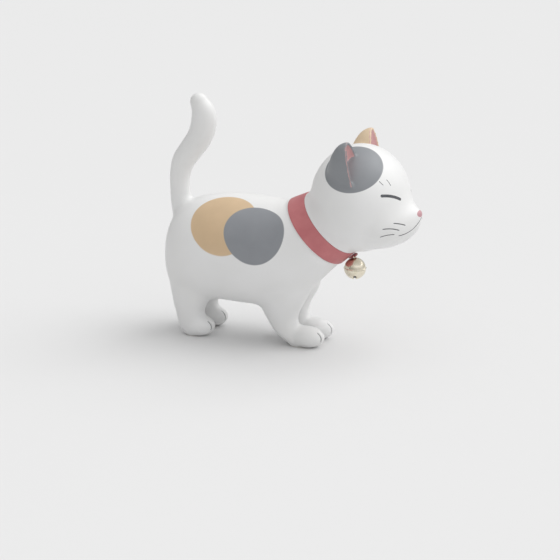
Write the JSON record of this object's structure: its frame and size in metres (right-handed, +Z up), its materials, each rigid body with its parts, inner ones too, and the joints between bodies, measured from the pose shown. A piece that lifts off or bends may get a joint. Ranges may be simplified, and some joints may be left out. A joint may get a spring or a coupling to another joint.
{
  "type": "cat figurine",
  "caption": "Free-standing ceramic cat with a raised tail, painted patches, a strap collar and a round bell that swings at the throat.",
  "frame": {"origin": "bottom centre of the bounding box, on the plane the paws stand on", "axes": "+X towards the nose, +Y to the cat's left, +Z up"},
  "size_m": [0.2858, 0.1122, 0.2666],
  "materials": {
    "body_glaze": "satin white glaze with a tan and a grey painted round patch on the flank",
    "head_glaze": "satin white glaze, grey and tan painted ears, pink nose, fine painted eye, whisker and mouth lines",
    "tail_glaze": "satin white glaze",
    "strap": "smooth rose-red, satin",
    "tab": "smooth dark red, satin",
    "bail_wire": "pale gold plate, polished",
    "bell_metal": "pale gold plate, polished, slightly uneven",
    "pellet_steel": "plain steel"
  },
  "bodies": {
    "figurine": {"body_shell": "body_glaze", "head_shell": "head_glaze", "tail": "tail_glaze", "collar_strap": "strap", "bell_tab": "tab"},
    "bell": {"bell_bail": "bail_wire", "bell_upper_cup": "bell_metal", "bell_lower_cup": "bell_metal"},
    "pellet": {"bell_pellet": "pellet_steel"}
  },
  "joints": [
    {"name": "bell_swing", "type": "hinge", "parent": "figurine", "child": "bell", "pos_m": [0.0706, 0, 0.1032], "axis": [0, -1, 0], "range_deg": [-2, 50]},
    {"name": "pellet_roll", "type": "hinge", "parent": "bell", "child": "pellet", "pos_m": [0.0706, 0, 0.0886], "axis": [0, -1, 0], "range_deg": [-60, 60]}
  ]
}
